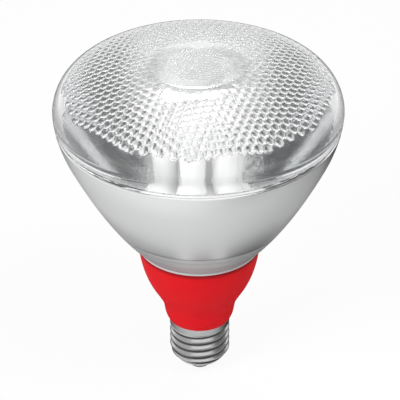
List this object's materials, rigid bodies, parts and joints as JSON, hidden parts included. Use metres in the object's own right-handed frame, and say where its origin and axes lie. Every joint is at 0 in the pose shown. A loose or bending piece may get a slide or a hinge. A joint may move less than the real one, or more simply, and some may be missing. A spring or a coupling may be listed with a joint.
{
  "type": "reflector_bulb",
  "caption": "Reflector bulb with a beaded glass lens, silvered parabolic reflector, flared red ballast housing and a medium screw base; screws into a lampholder and throws a wide beam",
  "frame": {"origin": "centre of the centre contact's face, the lowest point of the lamp stood base down", "axes": "+Z along the lamp's axis from base to lens, +Y away from the camera, +X to the right"},
  "size_m": [0.121, 0.121, 0.1538],
  "materials": {
    "lens_glass": "clear pressed glass, beaded inside",
    "seal_cement": "dark grey cured cement",
    "silvered_glass": "satin silvered glass",
    "neck_cement": "buff cement",
    "holder_plastic": "white moulded plastic",
    "phosphor_tube": "glass coated white inside",
    "tinned_wire": "bare tinned wire",
    "housing_plastic": "red moulded plastic, satin",
    "board_laminate": "bare paper laminate",
    "capacitor_sleeve": "dark shrink sleeve",
    "ferrite": "fired ferrite",
    "bobbin_plastic": "black moulded plastic",
    "copper_winding": "enamelled copper wire",
    "component_black": "black moulded body",
    "film_body": "dipped resin, brown red",
    "resistor_body": "coated resistor body",
    "wire_jacket": "white insulated wire",
    "shell_metal": "bare rolled metal",
    "insulator_glass": "grey insulator, smooth",
    "contact_metal": "tinned contact",
    "solder": "dull solder"
  },
  "bodies": {
    "root": {"lens": "lens_glass", "lens_seal": "seal_cement", "reflector": "silvered_glass", "neck_cement": "neck_cement", "tube_holder": "holder_plastic", "discharge_tube": "phosphor_tube", "tube_leads": "tinned_wire", "ballast_housing": "housing_plastic", "circuit_board": "board_laminate", "bulk_capacitor": "capacitor_sleeve", "choke_core": "ferrite", "choke_bobbin": "bobbin_plastic", "choke_winding": "copper_winding", "drive_toroid": "ferrite", "power_transistors": "component_black", "resonant_capacitor": "film_body", "coupling_capacitor": "film_body", "rectifier_diodes": "component_black", "fuse_resistor": "resistor_body", "live_lead": "wire_jacket", "neutral_lead": "wire_jacket", "screw_shell": "shell_metal", "base_insulator": "insulator_glass", "centre_contact": "contact_metal", "contact_solder": "solder"}
  },
  "joints": []
}
